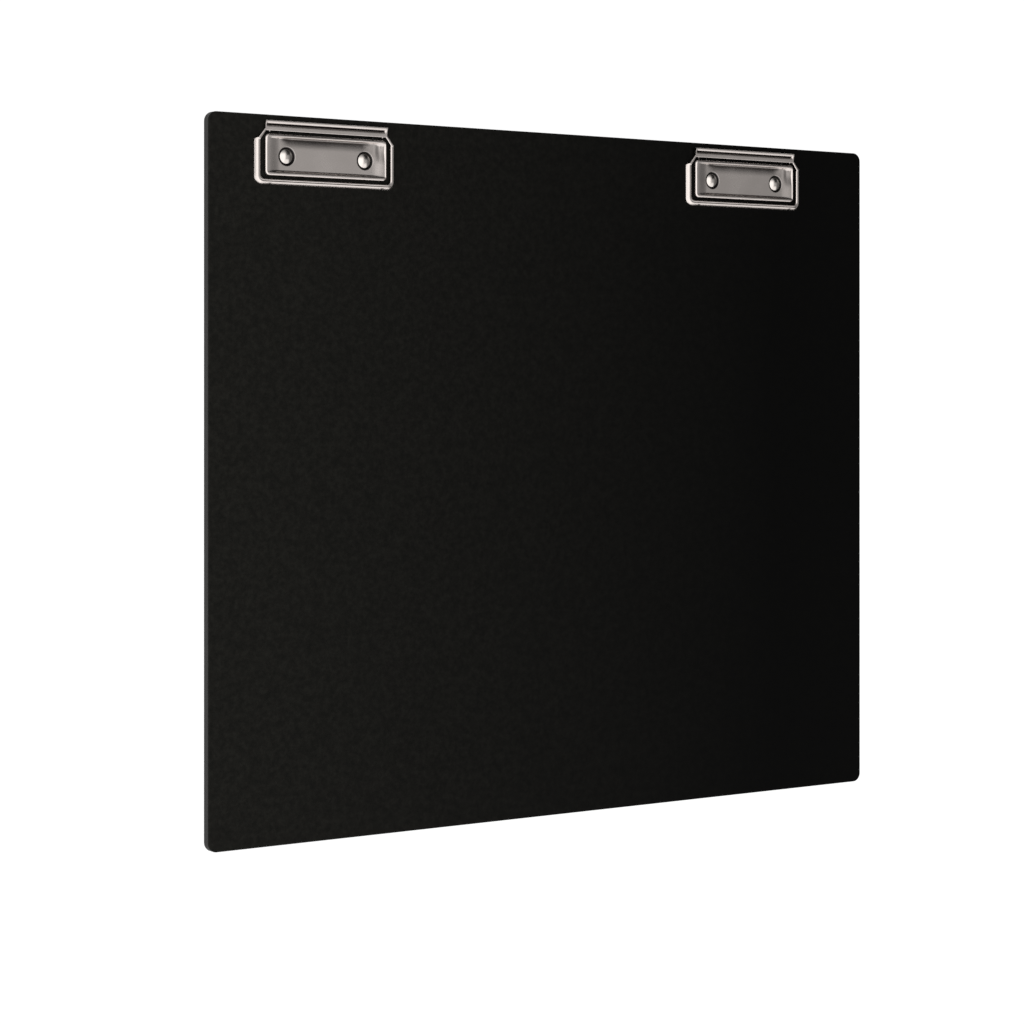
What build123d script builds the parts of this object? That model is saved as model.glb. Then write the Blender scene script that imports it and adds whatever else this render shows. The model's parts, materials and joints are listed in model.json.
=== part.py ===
from build123d import *
import os

# Two-clip clipboard, lying on its back.
# Row frame: +X along the board's width, +Y towards the clips' edge, +Z up, millimetres.
# Origin: centre of the board's back face.

# ---------------------------------------------------------------- board
BOARD_WIDTH = 533.4
BOARD_DEPTH = 457.2
BOARD_THICKNESS = 6.35
SHEET_THICKNESS = 0.6
CORNER_RADIUS = 6.0
EDGE_ROUND = 0.8

# ---------------------------------------------------------------- clip places
LEFT_CLIP_X = -183.75
RIGHT_CLIP_X = 156.6
RIVET_LINE_INSET = 25.75
RIVET_HALF_SPACING = 28.5

# ---------------------------------------------------------------- sheet steel
STEEL = 0.6
PIN_RADIUS = 0.5
PIN_FIT = 0.05

# Clip frame: x along the clip, y up from the rivet line, z out of the board's face.
# ---------------------------------------------------------------- base plate
PLATE_HALF_WIDTH = 44.25
PLATE_TOP = 13.8
PLATE_BOTTOM = -12.5
PLATE_HEIGHT = 3.0
PLATE_CORNER = 2.4
PLATE_BEND = 1.8
PAN_HALF_WIDTH = 37.0
PAN_TOP = 10.0
PAN_BOTTOM = -10.2
PAN_CORNER = 8.4
PAN_FLOOR = 1.1
PAN_WALL_ANGLE = 24.0
DIMPLE_RADIUS = 5.6
NOTCH_HEIGHT = 2.3
NOTCH_DEPTH = 2.1

# ---------------------------------------------------------------- hinge and springs
HINGE_Y = 11.7
HINGE_Z = 1.15
EAR_X = 41.2
EAR_THICKNESS = 0.8
EAR_RADIUS = 0.95
PIN_HALF_LENGTH = 44.1
WIRE_RADIUS = 0.22
COIL_RADIUS = PIN_RADIUS + PIN_FIT + WIRE_RADIUS
COIL_PITCH = 0.5
COIL_TURNS = 12
COIL_START_X = 34.2
LEVER_LEG_END = (17.7, 1.75)
EAR_NECK = (14.55, 2.0)
EAR_ROOT_Y = 18.15
EAR_ROOT_TOP = 2.4
EAR_ROOT_UNDER = 1.6
PLATE_LEG_END = (3.5, 1.4)

# ---------------------------------------------------------------- lever
LEVER_HALF_WIDTH = 51.0
LEVER_BOTTOM = -18.25
LEVER_FACE = 2.8
LEVER_CORNER = 5.5
BAR_TOP = 10.6
BAR_CORNER = 3.2
BAR_BEND = 1.5
SKIRT_GAP = 0.2
SKIRT_ANGLE = 20.0
WINDOW_HALF_WIDTH = 47.8
WINDOW_BOTTOM = -14.4
WINDOW_SHOULDER = 9.2
WINDOW_CORNER = 3.0
INNER_WALL_LOW = 1.0
FLANGE_HALF_WIDTH = 44.4
FLANGE_LOW = 15.6
FLANGE_SHOULDER = 16.6
SHOULDER_INNER_X = 42.8
SHOULDER_OUTER_X = 49.8
SHOULDER_BEND = 10.7
LIP_FOOT = 19.15
CREST_Y = 20.15
CREST_HEIGHT = 3.6
CURL_RADIUS = 2.2
CURL_ANGLE = 57.0

# ---------------------------------------------------------------- rivets
SHANK_RADIUS = 2.0
HOLE_RADIUS = 2.05
HEAD_RADIUS = 4.75
HEAD_HEIGHT = 1.9
RECESS_RADIUS = 5.6
RECESS_DEPTH = 1.9
WASHER_RADIUS = 4.9
WASHER_THICKNESS = 0.6
TAIL_RADIUS = 3.5
TAIL_THICKNESS = 0.9
TAIL_BORE_RADIUS = 1.3
TAIL_BORE_DEPTH = 3.0

RIVET_LINE_Y = BOARD_DEPTH / 2 - RIVET_LINE_INSET


def rounded_box(half_width, bottom, top, corner, z_low, z_high, taper=0.0, upper_corner=None):
    """Slab with rounded corners, between two heights above the board."""
    outline = Rectangle(2 * half_width, top - bottom)
    rows = outline.vertices().group_by(Axis.Y)
    outline = fillet(rows[0], corner)
    outline = fillet(outline.vertices().group_by(Axis.Y)[-1], upper_corner or corner)
    outline = Pos(0, (top + bottom) / 2, z_low) * outline
    return extrude(outline, amount=z_high - z_low, taper=taper)


def top_edges(solid, height):
    """The edges of a solid that lie at one height above the board."""
    return solid.edges().filter_by(lambda edge: abs(edge.bounding_box().min.Z - height) < 1e-4
                                   and abs(edge.bounding_box().max.Z - height) < 1e-4)


# ---------------------------------------------------------------- board layers
def rivet_places():
    """Distance of every rivet along the rivet line."""
    places = []
    for clip_x in (LEFT_CLIP_X, RIGHT_CLIP_X):
        for side in (-1, 1):
            places.append(clip_x + side * RIVET_HALF_SPACING)
    return places


def whole_board():
    """The laminated board before it is parted into its layers."""
    board = extrude(RectangleRounded(BOARD_WIDTH, BOARD_DEPTH, CORNER_RADIUS), amount=BOARD_THICKNESS)
    rims = board.edges().filter_by(lambda edge: edge.bounding_box().size.Z < 1e-6)
    board = fillet(rims, EDGE_ROUND)
    for x in rivet_places():
        place = Pos(x, RIVET_LINE_Y, 0)
        board -= place * extrude(Circle(HOLE_RADIUS), amount=BOARD_THICKNESS)
        board -= place * extrude(Circle(RECESS_RADIUS), amount=RECESS_DEPTH)
    return board


def layer(board, low, high):
    """The stretch of the board between two heights."""
    slab = Pos(0, 0, (low + high) / 2) * Box(BOARD_WIDTH, BOARD_DEPTH, high - low)
    return board & slab


# ---------------------------------------------------------------- base plate
def base_plate():
    """Drawn cover of the clip: a low dish whose sunk pan is riveted to the board."""
    plate = rounded_box(PLATE_HALF_WIDTH, PLATE_BOTTOM, PLATE_TOP, PLATE_CORNER, 0, PLATE_HEIGHT)
    plate = fillet(top_edges(plate, PLATE_HEIGHT), PLATE_BEND)
    hollow = rounded_box(PLATE_HALF_WIDTH - STEEL, PLATE_BOTTOM + STEEL, PLATE_TOP - STEEL,
                         PLATE_CORNER - STEEL, 0, PLATE_HEIGHT - STEEL)
    plate -= fillet(top_edges(hollow, PLATE_HEIGHT - STEEL), PLATE_BEND - STEEL)
    plate += rounded_box(PAN_HALF_WIDTH + STEEL, PAN_BOTTOM - STEEL, PAN_TOP + STEEL,
                         PAN_CORNER + STEEL, PAN_FLOOR - STEEL, PLATE_HEIGHT - STEEL / 2,
                         taper=-PAN_WALL_ANGLE)
    plate -= rounded_box(PAN_HALF_WIDTH, PAN_BOTTOM, PAN_TOP, PAN_CORNER,
                         PAN_FLOOR, PLATE_HEIGHT + STEEL, taper=-PAN_WALL_ANGLE)
    for side in (-1, 1):
        rivet_x = side * RIVET_HALF_SPACING
        plate += Pos(rivet_x, 0, 0) * extrude(Circle(DIMPLE_RADIUS + STEEL), amount=PAN_FLOOR - STEEL)
        plate -= Pos(rivet_x, 0, STEEL) * extrude(Circle(DIMPLE_RADIUS), amount=PAN_FLOOR)
        plate -= Pos(rivet_x, 0, 0) * extrude(Circle(HOLE_RADIUS), amount=PAN_FLOOR)
        plate -= wall_notch(side * EAR_X, 2 * EAR_THICKNESS)
        plate -= wall_notch(side * COIL_START_X, 4 * WIRE_RADIUS)
    bore = Plane(origin=(-PLATE_HALF_WIDTH, HINGE_Y, HINGE_Z), z_dir=(1, 0, 0))
    plate -= bore * extrude(Circle(PIN_RADIUS), amount=2 * PLATE_HALF_WIDTH)
    return plate


def wall_notch(x, width):
    """Slot in the plate's upper wall that an ear or a spring leg passes through."""
    centre = (x, PLATE_TOP + (STEEL - NOTCH_DEPTH) / 2, NOTCH_HEIGHT / 2)
    return Pos(*centre) * Box(width, NOTCH_DEPTH, NOTCH_HEIGHT)


# ---------------------------------------------------------------- lever
def flange_and_lip():
    """Upper flange of the lever, stepped out and curled back into the thumb lip."""
    end = Plane(origin=(-FLANGE_HALF_WIDTH, 0, 0), x_dir=(0, 1, 0), z_dir=(1, 0, 0))
    under = LEVER_FACE - STEEL
    centre = (CREST_Y, CREST_HEIGHT - CURL_RADIUS)
    curl_end = 90 - CURL_ANGLE
    outside = CenterArc(centre, CURL_RADIUS, curl_end, CURL_ANGLE)
    inside = CenterArc(centre, CURL_RADIUS - STEEL, curl_end, CURL_ANGLE)
    profile = Polyline(outside @ 1, (LIP_FOOT, LEVER_FACE), (FLANGE_LOW, LEVER_FACE),
                       (FLANGE_LOW, under), (LIP_FOOT + STEEL / 2, under), inside @ 1)
    section = make_face([outside, profile, inside, Line(outside @ 0, inside @ 0)])
    return extrude(end * section, amount=2 * FLANGE_HALF_WIDTH, dir=(1, 0, 0))


def lever_frame():
    """Jaw frame: channel-section side bars and jaw bar, open in the middle."""
    frame = rounded_box(LEVER_HALF_WIDTH, LEVER_BOTTOM, BAR_TOP, LEVER_CORNER, SKIRT_GAP, LEVER_FACE,
                        taper=SKIRT_ANGLE, upper_corner=BAR_CORNER)
    frame = fillet(top_edges(frame, LEVER_FACE), BAR_BEND)
    hollow = rounded_box(LEVER_HALF_WIDTH - STEEL, LEVER_BOTTOM + STEEL, BAR_TOP - STEEL,
                         LEVER_CORNER - STEEL, SKIRT_GAP, LEVER_FACE - STEEL, taper=SKIRT_ANGLE,
                         upper_corner=BAR_CORNER - STEEL)
    frame -= fillet(top_edges(hollow, LEVER_FACE - STEEL), BAR_BEND - STEEL)
    frame += rounded_box(WINDOW_HALF_WIDTH + STEEL, WINDOW_BOTTOM - STEEL, WINDOW_SHOULDER,
                         WINDOW_CORNER, INNER_WALL_LOW, LEVER_FACE - STEEL / 2)
    frame -= rounded_box(WINDOW_HALF_WIDTH, WINDOW_BOTTOM, BAR_TOP + WINDOW_CORNER,
                         WINDOW_CORNER, 0, LEVER_FACE)
    return frame


def shoulder(side):
    """Slanting strip that joins a side bar to the flange."""
    inner_top = (side * SHOULDER_INNER_X, FLANGE_LOW + STEEL)
    inner_low = (side * WINDOW_HALF_WIDTH, WINDOW_SHOULDER)
    outer_low = (side * SHOULDER_OUTER_X, WINDOW_SHOULDER)
    outer_bend = (side * SHOULDER_OUTER_X, SHOULDER_BEND)
    outer_top = (side * FLANGE_HALF_WIDTH, FLANGE_SHOULDER)
    strip = make_face(Polyline(inner_top, inner_low, outer_low, outer_bend, outer_top, inner_top))
    return Pos(0, 0, LEVER_FACE - STEEL) * extrude(strip, amount=STEEL, dir=(0, 0, 1))


def ear(side):
    """Lug bent down from the flange, bored for the hinge pin."""
    inside = Plane(origin=(side * EAR_X - EAR_THICKNESS / 2, 0, 0), x_dir=(0, 1, 0), z_dir=(1, 0, 0))
    neck = make_face(Polyline((HINGE_Y, HINGE_Z + EAR_RADIUS), EAR_NECK, (FLANGE_LOW, EAR_ROOT_TOP),
                              (EAR_ROOT_Y, EAR_ROOT_TOP), (EAR_ROOT_Y, EAR_ROOT_UNDER),
                              (HINGE_Y, HINGE_Z - EAR_RADIUS), (HINGE_Y, HINGE_Z + EAR_RADIUS)))
    outline = neck + Pos(HINGE_Y, HINGE_Z) * Circle(EAR_RADIUS)
    outline -= Pos(HINGE_Y, HINGE_Z) * Circle(PIN_RADIUS + PIN_FIT)
    return extrude(inside * outline, amount=EAR_THICKNESS, dir=(1, 0, 0))


def lever():
    """The moving jaw: frame, shoulders, flange, thumb lip and the two hinge ears."""
    jaw = lever_frame() + flange_and_lip()
    for side in (-1, 1):
        jaw += shoulder(side)
        jaw += ear(side)
    return jaw


# ---------------------------------------------------------------- small parts
def hinge_pin():
    """Straight pin held in the plate's end walls."""
    end = Plane(origin=(-PIN_HALF_LENGTH, HINGE_Y, HINGE_Z), z_dir=(1, 0, 0))
    return extrude(end * Circle(PIN_RADIUS), amount=2 * PIN_HALF_LENGTH)


def wire_leg(start, end):
    """Straight leg of spring wire with a rounded end."""
    path = Line(start, end)
    leg = sweep(Plane(origin=start, z_dir=path % 0) * Circle(WIRE_RADIUS), path=path)
    return leg + Pos(*start) * Sphere(WIRE_RADIUS) + Pos(*end) * Sphere(WIRE_RADIUS)


def spring(side):
    """Torsion spring on the pin, one leg under the flange and one under the plate."""
    length = COIL_TURNS * COIL_PITCH
    axis = Plane(origin=(COIL_START_X, HINGE_Y, HINGE_Z), x_dir=(0, 0, 1), z_dir=(1, 0, 0))
    path = axis * Helix(pitch=COIL_PITCH, height=length, radius=COIL_RADIUS)
    section = Plane(origin=path @ 0, z_dir=path % 0) * Circle(WIRE_RADIUS)
    coil = sweep(section, path=path, is_frenet=True)
    front = HINGE_Z + COIL_RADIUS
    lever_leg = wire_leg((COIL_START_X, HINGE_Y, front), (COIL_START_X, *LEVER_LEG_END))
    plate_x = COIL_START_X + length
    plate_leg = wire_leg((plate_x, HINGE_Y, front), (plate_x, *PLATE_LEG_END))
    whole = coil + lever_leg + plate_leg
    return whole if side > 0 else mirror(whole, about=Plane.YZ)


def rivet(side):
    """Dome-headed rivet, its bored tail rolled over the washer behind the board."""
    tail_z = RECESS_DEPTH - WASHER_THICKNESS - BOARD_THICKNESS
    end_z = tail_z - TAIL_THICKNESS
    cap_radius = (HEAD_RADIUS ** 2 + HEAD_HEIGHT ** 2) / (2 * HEAD_HEIGHT)
    cap = Pos(0, 0, STEEL + HEAD_HEIGHT - cap_radius) * Sphere(cap_radius)
    cap &= Pos(0, 0, STEEL) * extrude(Circle(HEAD_RADIUS), amount=HEAD_HEIGHT)
    body = cap + Pos(0, 0, end_z) * extrude(Circle(SHANK_RADIUS), amount=STEEL - end_z)
    tail = Pos(0, 0, end_z) * extrude(Circle(TAIL_RADIUS), amount=TAIL_THICKNESS)
    tail = fillet(tail.edges().sort_by(Axis.Z)[0], TAIL_THICKNESS / 2)
    body += tail
    body -= Pos(0, 0, end_z) * extrude(Circle(TAIL_BORE_RADIUS), amount=TAIL_BORE_DEPTH)
    return Pos(side * RIVET_HALF_SPACING, 0, 0) * body


def washer(side):
    """Flat washer at the bottom of the recess in the board's back."""
    ring = Circle(WASHER_RADIUS) - Circle(HOLE_RADIUS)
    floor_z = RECESS_DEPTH - BOARD_THICKNESS
    return Pos(side * RIVET_HALF_SPACING, 0, floor_z - WASHER_THICKNESS) * extrude(
        ring, amount=WASHER_THICKNESS)


def clip_parts(name, clip_x, outer_side):
    """Every piece of one clip in the row frame, by node name."""
    local = {
        "base_plate": base_plate(),
        "lever": lever(),
        "hinge_pin": hinge_pin(),
    }
    for place, side in (("outer", outer_side), ("inner", -outer_side)):
        local["spring_" + place] = spring(side)
        local["rivet_" + place] = rivet(side)
        local["washer_" + place] = washer(side)
    place = Pos(clip_x, RIVET_LINE_Y, BOARD_THICKNESS)
    return {name + "_clip_" + piece: place * shape for piece, shape in local.items()}


def all_parts():
    """Every piece of the clipboard, by node name."""
    board = whole_board()
    parts = {
        "front_sheet": layer(board, BOARD_THICKNESS - SHEET_THICKNESS, BOARD_THICKNESS),
        "board_core": layer(board, SHEET_THICKNESS, BOARD_THICKNESS - SHEET_THICKNESS),
        "back_sheet": layer(board, 0, SHEET_THICKNESS),
    }
    parts.update(clip_parts("left", LEFT_CLIP_X, -1))
    parts.update(clip_parts("right", RIGHT_CLIP_X, 1))
    return parts


os.makedirs("parts", exist_ok=True)
for node, shape in all_parts().items():
    export_step(shape, "parts/" + node + ".step")
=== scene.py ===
import json
import math

import bmesh
import bpy
from mathutils import Matrix, Vector


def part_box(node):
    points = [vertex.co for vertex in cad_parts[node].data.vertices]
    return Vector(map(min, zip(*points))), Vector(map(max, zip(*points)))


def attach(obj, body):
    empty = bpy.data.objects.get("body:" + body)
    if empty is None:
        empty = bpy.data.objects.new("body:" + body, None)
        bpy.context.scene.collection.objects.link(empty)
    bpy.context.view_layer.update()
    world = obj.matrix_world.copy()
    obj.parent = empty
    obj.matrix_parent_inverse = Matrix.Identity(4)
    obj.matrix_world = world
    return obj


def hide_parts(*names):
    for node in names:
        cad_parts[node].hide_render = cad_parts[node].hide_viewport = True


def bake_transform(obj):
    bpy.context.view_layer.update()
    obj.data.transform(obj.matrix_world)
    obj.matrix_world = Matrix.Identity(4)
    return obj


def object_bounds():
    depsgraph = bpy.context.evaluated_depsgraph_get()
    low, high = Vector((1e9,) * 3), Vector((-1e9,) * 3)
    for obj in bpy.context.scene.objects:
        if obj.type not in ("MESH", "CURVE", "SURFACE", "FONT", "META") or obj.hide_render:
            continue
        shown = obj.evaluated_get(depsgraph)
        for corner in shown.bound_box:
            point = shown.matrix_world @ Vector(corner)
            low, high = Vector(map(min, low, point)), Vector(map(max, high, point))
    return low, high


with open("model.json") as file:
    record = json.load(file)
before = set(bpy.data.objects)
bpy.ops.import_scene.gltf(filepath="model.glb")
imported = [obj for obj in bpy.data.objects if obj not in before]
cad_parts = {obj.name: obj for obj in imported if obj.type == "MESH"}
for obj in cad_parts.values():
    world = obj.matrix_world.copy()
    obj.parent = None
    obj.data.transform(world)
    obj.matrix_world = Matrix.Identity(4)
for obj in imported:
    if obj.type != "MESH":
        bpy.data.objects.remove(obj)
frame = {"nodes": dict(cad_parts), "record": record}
cad_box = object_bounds()

MM = 0.001

# ---------------------------------------------------------------- places, from the CAD
FACE_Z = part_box("front_sheet")[1].z
BOARD_LOW, BOARD_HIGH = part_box("board_core")

# ---------------------------------------------------------------- clip sizes, mm
# A clip's own frame: x along the clip from its middle, y towards the board's upper edge from the line of the
# rivets, z out of the board's face. The spans (from, to) are where a feature of the surface fades in or out.
STEEL = 0.6
SKIN_GAP = 0.02

PLATE_HALF, PLATE_LOW, PLATE_HIGH, PLATE_TOP = 44.25, -12.5, 13.8, 3.0
PLATE_CORNER, PLATE_BEND = 3.0, 1.3
BEND_ANGLES = (80, 70, 59, 48, 37, 27.6, 14, 0)
NOTCH_TOP, NOTCH_MARGIN, EAR_NOTCH, LEG_NOTCH = 2.3, 0.02, 0.8, 0.6

PAN_HALF, PAN_LOW, PAN_HIGH, PAN_DEPTH = 43.0, -10.7, 11.9, 1.4
PAN_LOWER_WALL, PAN_UPPER_WALL, PAN_END_SLOPE = 1.8, 0.95, 9.5
END_DIP_LEFT, END_DIP_RIGHT = 0.12, 0.45
END_DIP_X, END_DIP_FOOT, END_DIP_HEAD = (20.0, 34.0), (-10.75, -9.75), (6.6, 11.6)
CREASE_DEPTH, CREASE_START, CREASE_WIDTH, CREASE_END = 0.98, 4.4, 6.5, (26.0, 34.0)
HOLLOW_DEPTH, HOLLOW_X, HOLLOW_FOOT, HOLLOW_HEAD = 0.8, (35.5, 39.2), (-2.5, 7.0), (9.6, 11.8)

RIVET_X = 28.5
SEAT_EDGE = (5.35, 5.95)

HINGE_Y, HINGE_Z = 11.7, 1.15
EAR_X, EAR_HALF, EAR_RADIUS, BORE_RADIUS = 41.2, 0.4, 0.95, 0.55

LEVER_HALF, LEVER_LOW, LEVER_CORNER = 51.0, -18.25, 5.5
WINDOW_HALF, WINDOW_LOW, WINDOW_CORNER = 47.4, -14.55, 3.0
FLANGE_HALF, FLANGE_END, GROOVE_END = 44.4, 1.8, (0.7, 1.7)
TUCK_DEPTH, TUCK_Y = 0.015, (14.5, 15.8)

# The springs: each leg's two ends as (y, z), and the x up to which the board and the lever hold the coil.
COIL_START, COIL_END, COIL_RADIUS, COIL_TURNS = 34.2, 40.2, 0.77, 12
WIRE_RADIUS, WIRE_SIDES, STEPS_PER_TURN = 0.22, 10, 22
LEVER_LEG = ((17.7, 1.75), (11.9, 1.915))
PLATE_LEG = ((11.5, 1.91), (3.5, 0.75))

# Grid lines of the plate's skin, as (from, to, step): finer over the rivet seats, the walls and the crease.
GRID_X = ((0.9, 22.0, 0.9), (22.3, 35.0, 0.3), (35.5, 42.0, 0.5))
GRID_Y = ((-11.0, -9.3, 0.17), (-9.0, -6.6, 0.4), (-6.3, 6.3, 0.3),
          (6.7, 9.3, 0.4), (9.5, 11.1, 0.16), (11.5, 12.5, 0.4))
CORNER_LINES, CORNER_CLEARANCE, CLOSEST_LINES = 6, 0.05, 0.12


# ---------------------------------------------------------------- mesh helpers
def make_object(name, verts, faces, place, material, sharp=None):
    """A smooth-shaded mesh from millimetre points in a clip's frame, put in the row frame."""
    mesh = bpy.data.meshes.new(name)
    mesh.from_pydata([tuple(Vector(v) * MM + place) for v in verts], [], faces)
    mesh.validate()
    for face in mesh.polygons:
        face.use_smooth = True
    obj = bpy.data.objects.new(name, mesh)
    bpy.context.scene.collection.objects.link(obj)
    mesh.materials.append(material)
    if sharp is not None:
        mesh.set_sharp_from_angle(angle=math.radians(sharp))
    return obj


def solid(name, part, place, material):
    """An object from a closed solid's (verts, faces), its faces all turned outwards."""
    verts, faces = part
    obj = make_object(name, verts, faces, place, material)
    work = bmesh.new()
    work.from_mesh(obj.data)
    bmesh.ops.recalc_face_normals(work, faces=work.faces)
    work.to_mesh(obj.data)
    work.free()
    return obj


def loft(rings, closed):
    """Quads between successive rings of equally many points."""
    verts = [tuple(p) for ring in rings for p in ring]
    count = len(rings[0])
    faces = []
    for i in range(len(rings) - 1):
        for j in range(count if closed else count - 1):
            k = (j + 1) % count
            faces.append((i * count + j, i * count + k, (i + 1) * count + k, (i + 1) * count + j))
    return verts, faces


def capped(rings):
    """Closed solid through successive closed sections."""
    verts, faces = loft(rings, closed=True)
    count = len(rings[0])
    faces.append(tuple(range(count)))
    faces.append(tuple(len(verts) - count + k for k in reversed(range(count))))
    return verts, faces


def lathe(profile, x, y, steps=48):
    """Closed surface of revolution from (radius, height) points, poles at both ends."""
    angles = [2 * math.pi * k / steps for k in range(steps)]
    rings = []
    for radius, z in profile:
        rings.append([(x + radius * math.cos(a), y + radius * math.sin(a), z) for a in angles])
    verts, faces = loft(rings, closed=True)
    verts += [(x, y, profile[0][1]), (x, y, profile[-1][1])]
    last = (len(profile) - 1) * steps
    for k in range(steps):
        n = (k + 1) % steps
        faces.append((len(verts) - 2, n, k))
        faces.append((len(verts) - 1, last + k, last + n))
    return verts, [face[::-1] for face in faces]


def bake(obj):
    """Apply every modifier of an object."""
    depsgraph = bpy.context.evaluated_depsgraph_get()
    mesh = bpy.data.meshes.new_from_object(obj.evaluated_get(depsgraph))
    obj.modifiers.clear()
    obj.data = mesh


def apply_solidify(obj, thickness):
    """Give a sheet its thickness, under its outer skin, and keep only the result."""
    mod = obj.modifiers.new("sheet", "SOLIDIFY")
    mod.thickness = thickness * MM
    mod.offset = -1.0
    mod.use_even_offset = False
    mod.use_quality_normals = True
    bake(obj)


def ramp(value, low, high):
    """Smooth step from 0 at low to 1 at high."""
    t = min(max((value - low) / (high - low), 0.0), 1.0)
    return t * t * (3 - 2 * t)


def spread(low, high, step):
    """Evenly spaced places from low to high."""
    count = max(1, round((high - low) / step))
    return [low + (high - low) * i / count for i in range(count + 1)]


def mix_profile(a, b, t):
    """Point-by-point blend of two profiles."""
    return [(p[0] * (1 - t) + q[0] * t, p[1] * (1 - t) + q[1] * t) for p, q in zip(a, b)]


# ---------------------------------------------------------------- painted shade
# Painted shade: where the steel's colour is darkened in gaps, creases and under the rims, where shade falls.
PAINTED_SHADE_RING_IN, PAINTED_SHADE_RING_OUT = (4.4, 4.7), (5.7, 6.2)
PAINTED_SHADE_CREASE = 0.7
PAINTED_SHADE_CREASE_FOOT, PAINTED_SHADE_CREASE_HEAD, PAINTED_SHADE_CREASE_END = (8.6, 10.5), (10.95, 11.25), (30.0, 33.5)
PAINTED_SHADE_GROOVE_FOOT, PAINTED_SHADE_GROOVE_HEAD, PAINTED_SHADE_GROOVE_END = (18.8, 19.15), (19.85, 20.15), (1.2, 1.9)
PAINTED_SHADE_EAR_HALF, PAINTED_SHADE_EAR_TOP, PAINTED_SHADE_EAR_Y = 0.6, 2.35, (15.3, 15.55)
PAINTED_SHADE_WIRE = 0.92


def plate_painted_shade(x, y, z):
    """Painted shade: a dark ring in the gap round each rivet's head and a dark band in the crease under the
    pan's upper wall, where shade falls.
    """
    radius = math.hypot(abs(x) - RIVET_X, y)
    ring = ramp(radius, *PAINTED_SHADE_RING_IN) * (1 - ramp(radius, *PAINTED_SHADE_RING_OUT))
    crease = ramp(y, *PAINTED_SHADE_CREASE_FOOT) * (1 - ramp(y, *PAINTED_SHADE_CREASE_HEAD))
    crease *= 1 - ramp(abs(x), *PAINTED_SHADE_CREASE_END)
    return max(ring, PAINTED_SHADE_CREASE * crease)


def lever_painted_shade(x, y, z):
    """Painted shade in the groove under the lip and on the ears below the flange; the ears' mask also darkens
    the jaw bar at the same x as the ears.
    """
    groove = ramp(y, *PAINTED_SHADE_GROOVE_FOOT) * (1 - ramp(y, *PAINTED_SHADE_GROOVE_HEAD))
    groove *= ramp(FLANGE_HALF - abs(x), *PAINTED_SHADE_GROOVE_END)
    on_ear = abs(abs(x) - EAR_X) < PAINTED_SHADE_EAR_HALF and z < PAINTED_SHADE_EAR_TOP
    below = 1 - ramp(y, *PAINTED_SHADE_EAR_Y) if on_ear else 0.0
    return max(groove, below)


def wire_painted_shade(x, y, z):
    """Painted shade over the whole of a spring, which lies in the narrow gap under the plate's rim."""
    return PAINTED_SHADE_WIRE


def tone(obj, place, measure):
    """Store a painted-shade value for every vertex, measured in the clip's own millimetres."""
    shade = obj.data.attributes.new("shade", "FLOAT", "POINT")
    points = [(v.co - place) / MM for v in obj.data.vertices]
    shade.data.foreach_set("value", [measure(p.x, p.y, p.z) for p in points])


# ---------------------------------------------------------------- base plate
def plate_height(x, y):
    """Height of the plate's outer skin over the board: rim, pan, crease, hollow and rivet seats."""
    walls = ramp(PAN_HIGH - y, 0.0, PAN_UPPER_WALL) * ramp(y - PAN_LOW, 0.0, PAN_LOWER_WALL)
    pan = walls * ramp(PAN_HALF - abs(x), 0.0, PAN_END_SLOPE)
    dip = END_DIP_RIGHT if x > 0 else END_DIP_LEFT
    dip *= ramp(y, *END_DIP_FOOT) * (1 - ramp(y, *END_DIP_HEAD)) * ramp(abs(x), *END_DIP_X)
    drop = dip + (PAN_DEPTH - dip) * pan
    crease = CREASE_DEPTH * (min(max(y - CREASE_START, 0.0), CREASE_WIDTH) / CREASE_WIDTH) ** 2
    drop += crease * (1 - ramp(abs(x), *CREASE_END)) * walls
    drop += HOLLOW_DEPTH * ramp(x, *HOLLOW_X) * ramp(y, *HOLLOW_FOOT) * (1 - ramp(y, *HOLLOW_HEAD))
    lowest = STEEL + SKIN_GAP
    floor = PLATE_TOP - min(drop, PLATE_TOP - lowest)
    seat = 1 - ramp(math.hypot(abs(x) - RIVET_X, y), *SEAT_EDGE)
    return floor * (1 - seat) + min(floor, lowest) * seat


def grid_lines(low, high, corner, places):
    """Ascending coordinates: fine lines inside both corners and the wanted places between them."""
    steps = [corner * i / CORNER_LINES for i in range(CORNER_LINES + 1)]
    fine = [low + s for s in steps] + [high - s for s in steps]
    kept = []
    for p in sorted(places):
        inside = low + corner + CORNER_CLEARANCE < p < high - corner - CORNER_CLEARANCE
        if inside and (not kept or p - kept[-1] > CLOSEST_LINES):
            kept.append(p)
    return sorted(fine + kept)


def plate_points():
    """Grid of the plate's top skin, squeezed into its rounded outline."""
    inner = PLATE_CORNER - PLATE_BEND
    x_max = PLATE_HALF - PLATE_BEND
    y_low = PLATE_LOW + PLATE_BEND
    y_high = PLATE_HIGH - PLATE_BEND
    half = [x for span in GRID_X for x in spread(*span)]
    xs = grid_lines(-x_max, x_max, inner, [-x for x in half] + [0.0] + half)
    for side in (-1, 1):
        for middle, reach in ((EAR_X, EAR_NOTCH), (COIL_START, LEG_NOTCH)):
            for edge in (side * (middle - reach), side * (middle + reach)):
                xs[min(range(len(xs)), key=lambda k: abs(xs[k] - edge))] = edge
    ys = grid_lines(y_low, y_high, inner, [y for span in GRID_Y for y in spread(*span)])
    rows = []
    for y in ys:
        row = []
        for x in xs:
            cx = min(max(x, -x_max + inner), x_max - inner)
            cy = min(max(y, y_low + inner), y_high - inner)
            dx, dy = x - cx, y - cy
            length = math.hypot(dx, dy)
            scale = max(abs(dx), abs(dy)) / length if length > 1e-9 else 1.0
            row.append((cx + dx * scale, cy + dy * scale))
        rows.append(row)
    return rows


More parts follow.
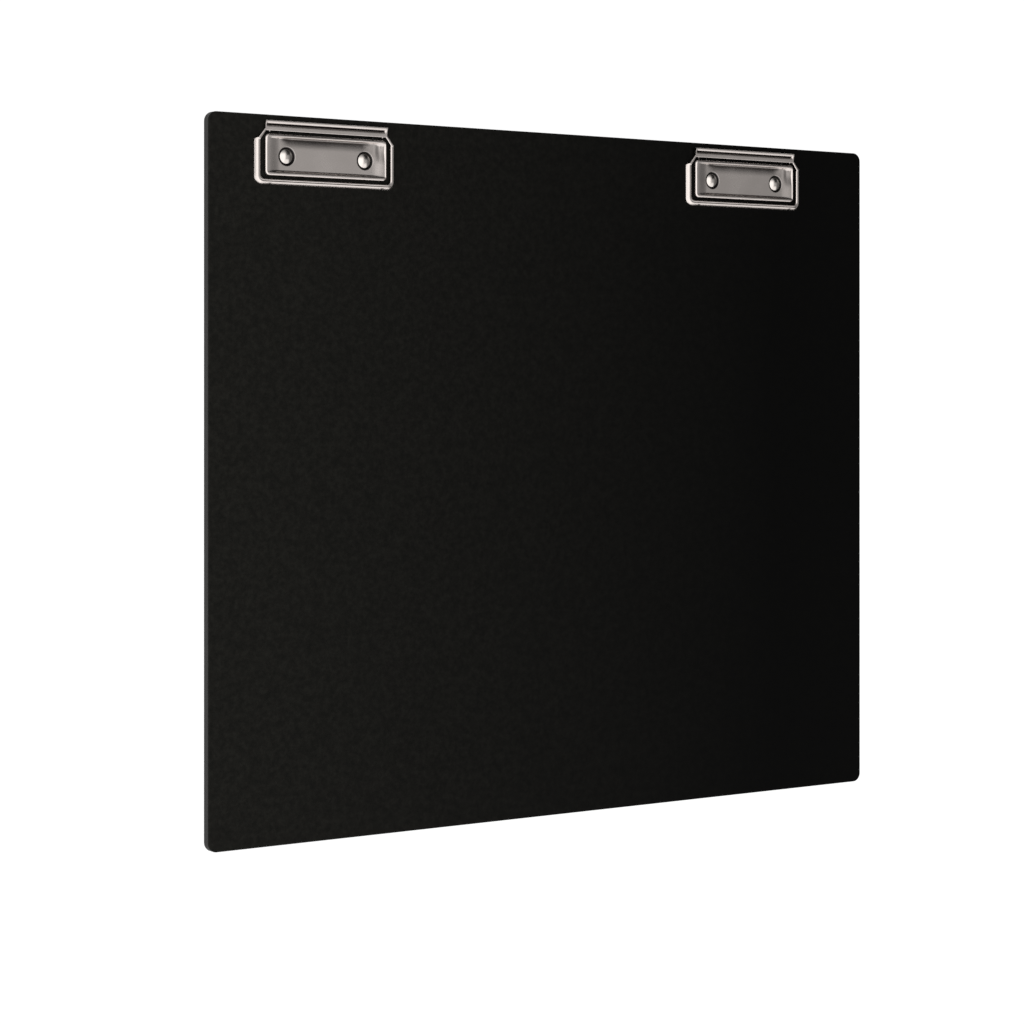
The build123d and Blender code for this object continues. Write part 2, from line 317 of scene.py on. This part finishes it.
def outline_of(rows):
    """Boundary of the grid as indices, anticlockwise, with the outward direction of each point."""
    ny, nx = len(rows), len(rows[0])
    loop = [(0, i) for i in range(nx)] + [(j, nx - 1) for j in range(1, ny)]
    loop += [(ny - 1, i) for i in range(nx - 2, -1, -1)] + [(j, 0) for j in range(ny - 2, 0, -1)]
    x_max = PLATE_HALF - PLATE_CORNER
    y_low = PLATE_LOW + PLATE_CORNER
    y_high = PLATE_HIGH - PLATE_CORNER
    ways = []
    for j, i in loop:
        x, y = rows[j][i]
        dx = x - min(max(x, -x_max), x_max)
        dy = y - min(max(y, y_low), y_high)
        ways.append(Vector((dx, dy)).normalized())
    return loop, ways


def in_notch(x):
    """True where the plate's upper wall is cut for an ear or a spring leg."""
    at_ear = abs(abs(x) - EAR_X) < EAR_NOTCH - NOTCH_MARGIN
    at_leg = abs(abs(x) - COIL_START) < LEG_NOTCH - NOTCH_MARGIN
    return at_ear or at_leg


def base_plate(name, place, material):
    """Drawn cover: the pan's skin, the rounded edge all round it and the upright walls down to the board."""
    rows = plate_points()
    ny, nx = len(rows), len(rows[0])
    verts = [(x, y, plate_height(x, y)) for row in rows for x, y in row]
    faces = []
    for j in range(ny - 1):
        for i in range(nx - 1):
            faces.append((j * nx + i, j * nx + i + 1, (j + 1) * nx + i + 1, (j + 1) * nx + i))
    loop, ways = outline_of(rows)
    above = [j * nx + i for j, i in loop]
    levels = []
    for angle in map(math.radians, BEND_ANGLES):
        levels.append((PLATE_BEND * math.cos(angle), PLATE_TOP - PLATE_BEND + PLATE_BEND * math.sin(angle)))
    levels += [(PLATE_BEND, STEEL), (PLATE_BEND, 0.0)]
    for out, z in levels:
        below = []
        for (j, i), way in zip(loop, ways):
            x, y = rows[j][i]
            below.append(len(verts))
            verts.append((x + way.x * out, y + way.y * out, z))
        for k in range(len(loop)):
            n = (k + 1) % len(loop)
            x = (rows[loop[k][0]][loop[k][1]][0] + rows[loop[n][0]][loop[n][1]][0]) / 2
            upper = loop[k][0] == ny - 1 and loop[n][0] == ny - 1
            if upper and z < NOTCH_TOP - NOTCH_MARGIN and in_notch(x):
                continue
            faces.append((above[k], below[k], below[n], above[n]))
        above = below
    obj = make_object(name, verts, faces, place, material)
    apply_solidify(obj, STEEL)
    # painted shade round the rivet heads and in the crease under the pan's upper wall
    tone(obj, place, plate_painted_shade)
    return obj


# ---------------------------------------------------------------- lever sections
# Across the bent strip, as (distance in from the outer edge, height): the upper face, and back under it.
# Every section has equally many points, so that one can be blended into another.
BAR_UPPER = [(0.0, 0.2), (0.13, 0.42), (0.26, 0.64), (0.39, 0.87), (0.52, 1.09), (0.65, 1.3), (0.78, 1.5),
             (0.91, 1.69), (1.04, 1.86), (1.17, 2.0), (1.3, 2.12), (1.45, 2.22), (1.65, 2.29), (1.95, 2.33),
             (2.35, 2.36), (2.75, 2.36), (3.05, 2.3), (3.3, 2.1), (3.5, 1.8), (3.6, 1.0)]
JAW_UPPER = [(0.0, 0.2), (0.08, 0.55), (0.2, 0.9), (0.38, 1.25), (0.6, 1.58), (0.85, 1.9), (1.12, 2.18),
             (1.4, 2.42), (1.68, 2.58), (1.92, 2.67), (2.12, 2.68), (2.28, 2.56), (2.42, 2.4), (2.54, 2.38),
             (2.7, 2.5), (3.0, 2.58), (3.24, 2.6), (3.46, 2.5), (3.62, 2.25), (3.7, 1.0)]
STRIP_UPPER = [(0.0, 2.42), (0.0, 2.46), (0.005, 2.5), (0.02, 2.56), (0.06, 2.62), (0.12, 2.68), (0.2, 2.73),
               (0.3, 2.77), (0.42, 2.79), (0.55, 2.8), (0.65, 2.8), (0.78, 2.8), (0.9, 2.8), (1.0, 2.79),
               (1.12, 2.765), (1.24, 2.72), (1.35, 2.65), (1.43, 2.57), (1.48, 2.5), (1.5, 2.42)]
INNER_EDGE = len(BAR_UPPER) - 1
BAR_SECTION = BAR_UPPER + [(3.0, 1.0), (2.98, 1.35), (2.9, 1.6), (2.7, 1.74), (2.4, 1.77), (2.0, 1.73),
                           (1.65, 1.6), (1.15, 1.1), (0.62, 0.2)]
JAW_SECTION = JAW_UPPER + [(3.1, 1.0), (3.1, 1.5), (3.06, 1.8), (2.9, 1.9), (2.5, 1.82), (2.05, 2.0),
                           (1.6, 1.82), (1.0, 1.2), (0.62, 0.2)]
STRIP_SECTION = STRIP_UPPER + [(1.49, 2.36), (1.49, 2.3), (1.47, 2.25), (1.35, 2.2), (0.9, 2.2), (0.5, 2.2),
                               (0.12, 2.21), (0.02, 2.27), (0.0, 2.34)]

# Across the upper flange, as (y, height): its upper face, which has the groove except at both ends, then the
# curled lip and back under it.
FLANGE_EDGE = [(15.6, 2.4), (15.62, 2.56), (15.7, 2.68), (15.86, 2.75), (16.1, 2.78), (16.8, 2.8),
               (17.5, 2.82)]
GROOVED = FLANGE_EDGE + [(18.1, 2.8), (18.45, 2.72), (18.7, 2.58), (18.9, 2.4), (19.05, 2.25), (19.25, 2.18),
                         (19.6, 2.18), (19.8, 2.35), (19.95, 2.65), (20.12, 2.95), (20.4, 3.2), (20.8, 3.42),
                         (21.25, 3.55)]
CLOSED = FLANGE_EDGE + [(18.1, 2.86), (18.45, 2.9), (18.7, 2.94), (18.9, 2.98), (19.05, 3.01), (19.25, 3.05),
                        (19.6, 3.13), (19.8, 3.18), (19.95, 3.22), (20.12, 3.27), (20.4, 3.34), (20.8, 3.45),
                        (21.25, 3.55)]
LIP = [(21.5, 3.59), (21.72, 3.58), (21.88, 3.5), (21.96, 3.35), (21.99, 3.15), (21.99, 2.95), (21.9, 2.8),
       (21.7, 2.74), (21.5, 2.8), (21.35, 2.9), (21.15, 2.96)]
FLANGE_UNDER = [(20.9, 2.92), (20.6, 2.72), (20.35, 2.45), (20.2, 2.1), (20.0, 1.8), (19.6, 1.72),
                (19.0, 1.72), (18.6, 2.0), (18.2, 2.15), (17.0, 2.2), (16.0, 2.2), (15.65, 2.25)]

# Round the left shoulder, from the flange down to the side bar: the strip's outer and inner edge, how far it
# has changed from flat strip to bar, and in how many steps it goes on to the next point.
SHOULDER = [((-44.3, 17.6), (-42.9, 17.6), 0.0, 4),
            ((-44.34, 16.9), (-43.0, 16.5), 0.0, 14),
            ((-49.1, 11.1), (-47.4, 10.6), 0.0, 4),
            ((-50.3, 10.75), (-47.4, 10.1), 0.35, 4),
            ((-50.85, 10.15), (-47.4, 9.6), 0.75, 4),
            ((-51.0, 9.2), (-47.4, 9.0), 1.0, 0)]
BAR_STEPS, CORNER_STEPS, JAW_STEPS = 18, 16, 40
JAW_BLEND = (0.15, 1.0)
FLANGE_STEPS, FLANGE_END_STEPS = 70, 6

EAR_TOP = [(18.1, 1.6), (18.6, 1.78), (18.6, 2.4), (15.85, 2.4), (14.55, 2.0)]


# ---------------------------------------------------------------- lever
def left_stations():
    """(outer point, inner point, section) down the left shoulder and bar and round to the jaw's middle."""
    stations = []
    for (outer_a, inner_a, bar_a, steps), (outer_b, inner_b, bar_b, _) in zip(SHOULDER, SHOULDER[1:]):
        for i in range(steps):
            t = i / steps
            outer = Vector(outer_a).lerp(Vector(outer_b), t)
            inner = Vector(inner_a).lerp(Vector(inner_b), t)
            change = ramp(bar_a * (1 - t) + bar_b * t, 0, 1)
            stations.append((outer, inner, mix_profile(STRIP_SECTION, BAR_SECTION, change)))
    outer_high, inner_high = SHOULDER[-1][0][1], SHOULDER[-1][1][1]
    outer_low, inner_low = LEVER_LOW + LEVER_CORNER, WINDOW_LOW + WINDOW_CORNER
    for i in range(BAR_STEPS):
        t = i / BAR_STEPS
        outer = Vector((-LEVER_HALF, outer_high * (1 - t) + outer_low * t))
        inner = Vector((-WINDOW_HALF, inner_high * (1 - t) + inner_low * t))
        stations.append((outer, inner, BAR_SECTION))
    for i in range(CORNER_STEPS):
        angle = math.radians(180 + 90 * i / CORNER_STEPS)
        way = Vector((math.cos(angle), math.sin(angle)))
        outer = Vector((-LEVER_HALF + LEVER_CORNER, outer_low)) + way * LEVER_CORNER
        inner = Vector((-WINDOW_HALF + WINDOW_CORNER, inner_low)) + way * WINDOW_CORNER
        change = ramp(i / CORNER_STEPS, *JAW_BLEND)
        stations.append((outer, inner, mix_profile(BAR_SECTION, JAW_SECTION, change)))
    for i in range(JAW_STEPS + 1):
        t = i / JAW_STEPS
        outer = Vector(((-LEVER_HALF + LEVER_CORNER) * (1 - t), LEVER_LOW))
        inner = Vector(((-WINDOW_HALF + WINDOW_CORNER) * (1 - t), WINDOW_LOW))
        stations.append((outer, inner, JAW_SECTION))
    return stations


def jaw_frame():
    """Side bars, shoulders and jaw bar as one bent strip, tucked a little under the flange."""
    left = left_stations()
    right = [(Vector((-o.x, o.y)), Vector((-i.x, i.y)), section) for o, i, section in reversed(left[:-1])]
    rings = []
    for outer, inner, section in left + right:
        way = (inner - outer) / section[INNER_EDGE][0]
        sunk = TUCK_DEPTH * ramp(outer.y, *TUCK_Y)
        rings.append([(outer.x + way.x * s, outer.y + way.y * s, z - sunk) for s, z in section])
    return capped(rings)


def flange():
    """Upper flange, the groove above it and the curled lip."""
    ends = [FLANGE_END * i / FLANGE_END_STEPS for i in range(FLANGE_END_STEPS + 1)]
    middle = 2 * FLANGE_HALF - 2 * FLANGE_END
    xs = [-FLANGE_HALF + e for e in ends]
    xs += [-FLANGE_HALF + FLANGE_END + middle * i / FLANGE_STEPS for i in range(1, FLANGE_STEPS)]
    xs += [FLANGE_HALF - e for e in reversed(ends)]
    rings = []
    for x in xs:
        open_groove = ramp(FLANGE_HALF - abs(x), *GROOVE_END)
        section = mix_profile(CLOSED, GROOVED, open_groove) + LIP + FLANGE_UNDER
        rings.append([(x, y, z) for y, z in section])
    return capped(rings)


def round_hinge(radius, angles):
    """(y, z) points round the hinge's axis, at angles in degrees."""
    turns = [math.radians(a) for a in angles]
    return [(HINGE_Y + radius * math.cos(a), HINGE_Z + radius * math.sin(a)) for a in turns]


def ear(side):
    """Lug under the flange, bored for the hinge pin, as a closed solid."""
    outline = round_hinge(EAR_RADIUS, range(90, 271, 15)) + EAR_TOP
    bore = round_hinge(BORE_RADIUS, range(0, 360, 15))
    work = bmesh.new()
    for line in (outline, bore):
        points = [work.verts.new((0.0, y, z)) for y, z in line]
        for k, point in enumerate(points):
            work.edges.new((point, points[(k + 1) % len(points)]))
    bmesh.ops.triangle_fill(work, use_beauty=True, edges=work.edges[:])
    work.verts.index_update()
    flat = [v.co.copy() for v in work.verts]
    triangles = [tuple(v.index for v in face.verts) for face in work.faces]
    work.free()
    near, far = side * EAR_X - EAR_HALF, side * EAR_X + EAR_HALF
    verts = [(near, v.y, v.z) for v in flat] + [(far, v.y, v.z) for v in flat]
    count = len(flat)
    faces = triangles + [tuple(i + count for i in reversed(face)) for face in triangles]
    for base, size in ((0, len(outline)), (len(outline), len(bore))):
        for k in range(size):
            a, b = base + k, base + (k + 1) % size
            faces.append((a, b, b + count, a + count))
    return verts, faces


def lever(name, place, material):
    """Jaw frame, flange and both ears joined into one solid."""
    pieces = (jaw_frame(), flange(), ear(-1), ear(1))
    parts = []
    for k, piece in enumerate(pieces):
        parts.append(solid(name + "_" + str(k), piece, place, material))
    body = parts[0]
    body.name = name
    for other in parts[1:]:
        mod = body.modifiers.new("join", "BOOLEAN")
        mod.operation = "UNION"
        mod.solver = "EXACT"
        mod.object = other
        bake(body)
    for other in parts[1:]:
        bpy.data.objects.remove(other)
    for face in body.data.polygons:
        face.use_smooth = True
    body.data.set_sharp_from_angle(angle=math.radians(40))
    # painted shade in the lip's groove and on the ears, which also falls on the jaw bar at the ears' x
    tone(body, place, lever_painted_shade)
    return body


# ---------------------------------------------------------------- rivets and springs
# A rivet's outline from the crown of its head to the bore in its tail, as (radius, height).
DOME = [(0.25, 2.5), (0.8, 2.47), (1.4, 2.385), (2.0, 2.24), (2.6, 2.04), (3.2, 1.78), (3.75, 1.48),
        (4.2, 1.19), (4.5, 0.97), (4.68, 0.82), (4.74, 0.72), (4.7, 0.64), (4.6, 0.62)]
SHANK = [(2.0, 0.62), (2.0, 0.5), (2.0, -4.9), (2.0, -5.06)]
TAIL = [(3.3, -5.06), (3.46, -5.12), (3.5, -5.3), (3.45, -5.55), (3.25, -5.8), (2.9, -5.93), (2.4, -5.95),
        (1.8, -5.93), (1.45, -5.85), (1.3, -5.7), (1.3, -3.1), (1.2, -2.98), (0.6, -2.95)]


def rivet(name, x, place, material):
    """Dome head, shank and the rolled, bored tail behind the board."""
    verts, faces = lathe(DOME + SHANK + TAIL, x, 0.0)
    return make_object(name, verts, faces, place, material, sharp=50)


def leg(x, ends, places):
    """Straight stretch of wire at one x, between two (y, z) ends, at the given shares of its length."""
    (y_from, z_from), (y_to, z_to) = ends
    return [Vector((x, y_from * (1 - t) + y_to * t, z_from * (1 - t) + z_to * t)) for t in places]


def spring(name, side, place, material):
    """Wire of the torsion spring: lever leg, coil on the pin, plate leg."""
    path = leg(COIL_START, LEVER_LEG, [i / 7 for i in range(8)])
    steps = COIL_TURNS * STEPS_PER_TURN
    for i in range(steps + 1):
        t = i / steps
        angle = math.radians(90) - 2 * math.pi * COIL_TURNS * t
        path.append(Vector((COIL_START + (COIL_END - COIL_START) * t, HINGE_Y + COIL_RADIUS * math.cos(angle),
                            HINGE_Z + COIL_RADIUS * math.sin(angle))))
    path += leg(COIL_END, PLATE_LEG, [i / 9 for i in range(1, 10)])
    path = [Vector((side * p.x, p.y, p.z)) for p in path]
    around = [2 * math.pi * k / WIRE_SIDES for k in range(WIRE_SIDES)]
    rings = []
    for i, point in enumerate(path):
        along = (path[min(i + 1, len(path) - 1)] - path[max(i - 1, 0)]).normalized()
        across = along.cross(Vector((1, 0, 0))).normalized()
        third = along.cross(across)
        rings.append([point + (across * math.cos(a) + third * math.sin(a)) * WIRE_RADIUS for a in around])
    verts, faces = capped(rings)
    obj = make_object(name, verts, faces, place, material, sharp=60)
    # painted shade over the whole spring, for the shade under the plate's rim
    tone(obj, place, wire_painted_shade)
    return obj


# ---------------------------------------------------------------- material helpers
def new_material(name):
    """A material with its nodes, links and shader."""
    material = bpy.data.materials.new(name)
    material.use_nodes = True
    nodes = material.node_tree.nodes
    return material, nodes, material.node_tree.links, nodes["Principled BSDF"]


def noise(nodes, links, scale, detail, rough=0.5, stretch=(1, 1, 1)):
    """Noise texture over the object's own coordinates."""
    coords = nodes.new("ShaderNodeTexCoord")
    mapping = nodes.new("ShaderNodeMapping")
    mapping.inputs["Scale"].default_value = stretch
    texture = nodes.new("ShaderNodeTexNoise")
    texture.inputs["Scale"].default_value = scale
    texture.inputs["Detail"].default_value = detail
    texture.inputs["Roughness"].default_value = rough
    links.new(coords.outputs["Object"], mapping.inputs["Vector"])
    links.new(mapping.outputs["Vector"], texture.inputs["Vector"])
    return texture.outputs["Fac"]


def color_ramp(nodes, links, source, stops):
    """Colour ramp from (position, colour) stops."""
    node = nodes.new("ShaderNodeValToRGB")
    while len(node.color_ramp.elements) > 1:
        node.color_ramp.elements.remove(node.color_ramp.elements[0])
    node.color_ramp.elements[0].position = stops[0][0]
    node.color_ramp.elements[0].color = (*stops[0][1], 1)
    for position, colour in stops[1:]:
        element = node.color_ramp.elements.new(position)
        element.color = (*colour, 1)
    links.new(source, node.inputs["Fac"])
    return node.outputs["Color"]


def remap(nodes, links, source, low, high, out_low, out_high, curve="LINEAR"):
    """One range of values carried over to another."""
    node = nodes.new("ShaderNodeMapRange")
    node.interpolation_type = curve
    node.inputs["From Min"].default_value = low
    node.inputs["From Max"].default_value = high
    node.inputs["To Min"].default_value = out_low
    node.inputs["To Max"].default_value = out_high
    links.new(source, node.inputs["Value"])
    return node.outputs["Result"]


def axis_of(nodes, links, system, axis):
    """One component of the object's coordinates, or of the direction in the world."""
    coords = nodes.new("ShaderNodeTexCoord")
    split = nodes.new("ShaderNodeSeparateXYZ")
    links.new(coords.outputs[system], split.inputs["Vector"])
    return split.outputs[axis]


def bump(nodes, links, source, strength, distance, below=None):
    """Relief from a height, over another relief where one is given."""
    node = nodes.new("ShaderNodeBump")
    node.inputs["Strength"].default_value = strength
    node.inputs["Distance"].default_value = distance
    links.new(source, node.inputs["Height"])
    if below is not None:
        links.new(below, node.inputs["Normal"])
    return node.outputs["Normal"]


# ---------------------------------------------------------------- materials
STEEL_RELIEF = 0.02


def board_material():
    """Matt black laminate with a fine mottled grain, and painted sheen: a little paler towards the board's
    left side, where the light falls.
    """
    material, nodes, links, shader = new_material("board_face")
    mottle = noise(nodes, links, 260, 6, 0.7)
    fine = noise(nodes, links, 1500, 3, 0.6)
    stops = [(0.36, (0.0018, 0.0018, 0.0015)), (0.5, (0.0026, 0.0025, 0.0021)),
             (0.66, (0.0037, 0.0036, 0.0030))]
    colour = color_ramp(nodes, links, mottle, stops)
    across = axis_of(nodes, links, "Object", "X")
    # painted sheen: the colour is scaled up towards the board's left side
    painted_sheen_level = remap(nodes, links, across, BOARD_LOW.x, BOARD_HIGH.x * 0.7, 3.0, 0.25)
    sheened_colour = nodes.new("ShaderNodeVectorMath")
    sheened_colour.operation = "SCALE"
    links.new(colour, sheened_colour.inputs["Vector"])
    links.new(painted_sheen_level, sheened_colour.inputs["Scale"])
    links.new(sheened_colour.outputs["Vector"], shader.inputs["Base Color"])
    links.new(remap(nodes, links, fine, 0.3, 0.7, 0.40, 0.52), shader.inputs["Roughness"])
    shader.inputs["Specular IOR Level"].default_value = 0.055
    low = bump(nodes, links, mottle, 0.25, 0.0003)
    links.new(bump(nodes, links, fine, 0.35, 0.00012, low), shader.inputs["Normal"])
    return material


def core_material():
    """Black-dyed fibreboard edge with fine pressed layers."""
    material, nodes, links, shader = new_material("board_core")
    layers = noise(nodes, links, 60, 5, 0.6, (1, 1, 28))
    fibre = noise(nodes, links, 1800, 4, 0.6)
    colour = color_ramp(nodes, links, layers, [(0.3, (0.010, 0.0095, 0.009)), (0.7, (0.018, 0.017, 0.016))])
    links.new(colour, shader.inputs["Base Color"])
    links.new(remap(nodes, links, fibre, 0.3, 0.7, 0.52, 0.70), shader.inputs["Roughness"])
    shader.inputs["Specular IOR Level"].default_value = 0.22
    links.new(bump(nodes, links, fibre, 0.4, 0.0001), shader.inputs["Normal"])
    return material


def steel_material(name, dark, light, rough):
    """Plated steel: faint colour drift, drawn grain, small pits, and painted shade where the mesh is toned.
    """
    material, nodes, links, shader = new_material(name)
    drift = noise(nodes, links, 45, 4, 0.55)
    grain = noise(nodes, links, 900, 3, 0.6, (0.08, 1, 1))
    speck = noise(nodes, links, 2600, 2, 0.5)
    colour = color_ramp(nodes, links, drift, [(0.3, dark), (0.7, light)])
    shade = nodes.new("ShaderNodeAttribute")
    shade.attribute_name = "shade"
    # painted shade: the stored shade value blends the steel's colour towards near black
    painted_shade_mix = nodes.new("ShaderNodeMix")
    painted_shade_mix.data_type = "RGBA"
    unshaded_colour, painted_shade_colour = painted_shade_mix.inputs[6], painted_shade_mix.inputs[7]
    painted_shade_colour.default_value = (0.010, 0.0095, 0.009, 1)
    links.new(shade.outputs["Fac"], painted_shade_mix.inputs["Factor"])
    links.new(colour, unshaded_colour)
    links.new(painted_shade_mix.outputs[2], shader.inputs["Base Color"])
    shader.inputs["Metallic"].default_value = 1.0
    links.new(remap(nodes, links, drift, 0.3, 0.7, rough - 0.04, rough + 0.05), shader.inputs["Roughness"])
    low = bump(nodes, links, grain, STEEL_RELIEF, 0.00006)
    links.new(bump(nodes, links, speck, STEEL_RELIEF, 0.00003, low), shader.inputs["Normal"])
    return material


MATERIALS = {
    "board_face": board_material(),
    "board_core": core_material(),
    "nickel_steel": steel_material("nickel_steel", (0.565, 0.515, 0.485), (0.63, 0.575, 0.545), 0.24),
    "rivet_steel": steel_material("rivet_steel", (0.60, 0.555, 0.52), (0.68, 0.63, 0.59), 0.20),
    "bright_steel": steel_material("bright_steel", (0.50, 0.50, 0.49), (0.58, 0.58, 0.57), 0.28),
    "spring_wire": steel_material("spring_wire", (0.34, 0.33, 0.32), (0.42, 0.41, 0.40), 0.30),
}

slots = {part["node"]: part["material_slot"] for part in frame["record"]["subparts"]}
for node, obj in frame["nodes"].items():
    obj.data.materials.clear()
    obj.data.materials.append(MATERIALS[slots[node]])

# ---------------------------------------------------------------- clips
for clip, body in (("left_clip", "left_lever"), ("right_clip", "right_lever")):
    low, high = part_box(clip + "_base_plate")
    place = Vector(((low.x + high.x) / 2, low.y - PLATE_LOW * MM, low.z))

    plate = base_plate(clip + "_drawn_plate", place, MATERIALS["nickel_steel"])
    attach(plate, "board")
    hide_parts(clip + "_base_plate")

    jaw = lever(clip + "_pressed_lever", place, MATERIALS["nickel_steel"])
    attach(jaw, body)
    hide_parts(clip + "_lever")

    outer_side = -1 if clip == "left_clip" else 1
    for which, side in (("outer", outer_side), ("inner", -outer_side)):
        head = rivet(clip + "_dome_rivet_" + which, side * RIVET_X, place, MATERIALS["rivet_steel"])
        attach(head, "board")
        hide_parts(clip + "_rivet_" + which)
        wire = spring(clip + "_torsion_spring_" + which, side, place, MATERIALS["spring_wire"])
        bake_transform(wire)
        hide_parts(clip + "_spring_" + which)

# ---------------------------------------------------------------- floor
FLOOR_HALF, FLOOR_GAP = 4.0, 0.0001
FLOOR_GLOW = 0.93

floor_z = float(cad_box[0][2]) - FLOOR_GAP
floor_corners = [(x * FLOOR_HALF, y * FLOOR_HALF, floor_z) for x, y in ((-1, -1), (1, -1), (1, 1), (-1, 1))]
floor_mesh = bpy.data.meshes.new("floor")
floor_mesh.from_pydata(floor_corners, [], [(0, 1, 2, 3)])
floor = bpy.data.objects.new("floor", floor_mesh)
bpy.context.scene.collection.objects.link(floor)
floor_material, _, _, floor_shader = new_material("floor")
floor_shader.inputs["Base Color"].default_value = (0.16, 0.16, 0.16, 1)
floor_shader.inputs["Roughness"].default_value = 1.0
floor_shader.inputs["Specular IOR Level"].default_value = 0.0
floor_shader.inputs["Emission Color"].default_value = (1, 1, 1, 1)
floor_shader.inputs["Emission Strength"].default_value = FLOOR_GLOW
floor_mesh.materials.append(floor_material)

# ---------------------------------------------------------------- light
# Each light's level against the x and the y of the direction it comes from: the two values between which it
# changes, and its level below and above them.
LEFT_LIGHT = ((-0.10, 0.48, 1.70, 0.0), (0.35, 0.90, 1.0, 0.25))
LOW_LIGHT = ((0.62, 0.84, 1.0, 0.08), (-0.55, -0.03, 1.35, 0.0))
RIGHT_LIGHT = ((0.76, 0.92, 0.0, 0.32), (0.0, 0.35, 0.0, 1.0))
AMBIENT = ((0.35, 1.0, 0.59, 0.14), (0.07, 0.46, 1.0, 0.05))
BACKDROP = 1.05


def combine(nodes, links, operation, first, second):
    """Two light levels put together."""
    node = nodes.new("ShaderNodeMath")
    node.operation = operation
    links.new(first, node.inputs[0])
    links.new(second, node.inputs[1])
    return node.outputs[0]


def soft_light(nodes, links, sideways, upwards):
    """A broad light without hard edges."""
    across = remap(nodes, links, axis_of(nodes, links, "Generated", "X"), *sideways, curve="SMOOTHSTEP")
    along = remap(nodes, links, axis_of(nodes, links, "Generated", "Y"), *upwards, curve="SMOOTHSTEP")
    return combine(nodes, links, "MULTIPLY", across, along)


def studio():
    """The world: four broad lights, and an even backdrop where the camera looks past the object."""
    world = bpy.data.worlds.new("studio")
    world.use_nodes = True
    nodes, links = world.node_tree.nodes, world.node_tree.links
    left, low, right, ambient = [soft_light(nodes, links, *light)
                                 for light in (LEFT_LIGHT, LOW_LIGHT, RIGHT_LIGHT, AMBIENT)]
    lights = combine(nodes, links, "MAXIMUM", combine(nodes, links, "MAXIMUM", left, low),
                     combine(nodes, links, "MAXIMUM", right, ambient))
    path = nodes.new("ShaderNodeLightPath")
    choice = nodes.new("ShaderNodeMix")
    choice.data_type = "FLOAT"
    links.new(path.outputs["Is Camera Ray"], choice.inputs["Factor"])
    links.new(lights, choice.inputs["A"])
    choice.inputs["B"].default_value = BACKDROP
    background = nodes["Background"]
    background.inputs["Color"].default_value = (1, 1, 1, 1)
    links.new(choice.outputs["Result"], background.inputs["Strength"])
    return world


bpy.context.scene.world = studio()

# ---------------------------------------------------------------- camera
CAMERA_LENS, CAMERA_SENSOR, CAMERA_SHIFT = 92.9, 36, -0.1217
CAMERA_X, CAMERA_Y, CAMERA_HEIGHT = -1.0285, 0.0582, 1.4483
CAMERA_TURN = math.radians(-34.3)

camera_data = bpy.data.cameras.new("camera")
camera_data.lens = CAMERA_LENS
camera_data.sensor_width = CAMERA_SENSOR
camera_data.shift_y = CAMERA_SHIFT
camera_data.clip_start = 0.01
camera = bpy.data.objects.new("camera", camera_data)
bpy.context.scene.collection.objects.link(camera)
camera_place = Matrix.Translation((CAMERA_X, CAMERA_Y, FACE_Z + CAMERA_HEIGHT))
camera.matrix_world = camera_place @ Matrix.Rotation(CAMERA_TURN, 4, "Y")
bpy.context.scene.camera = camera
bpy.context.scene.view_settings.view_transform = "Standard"
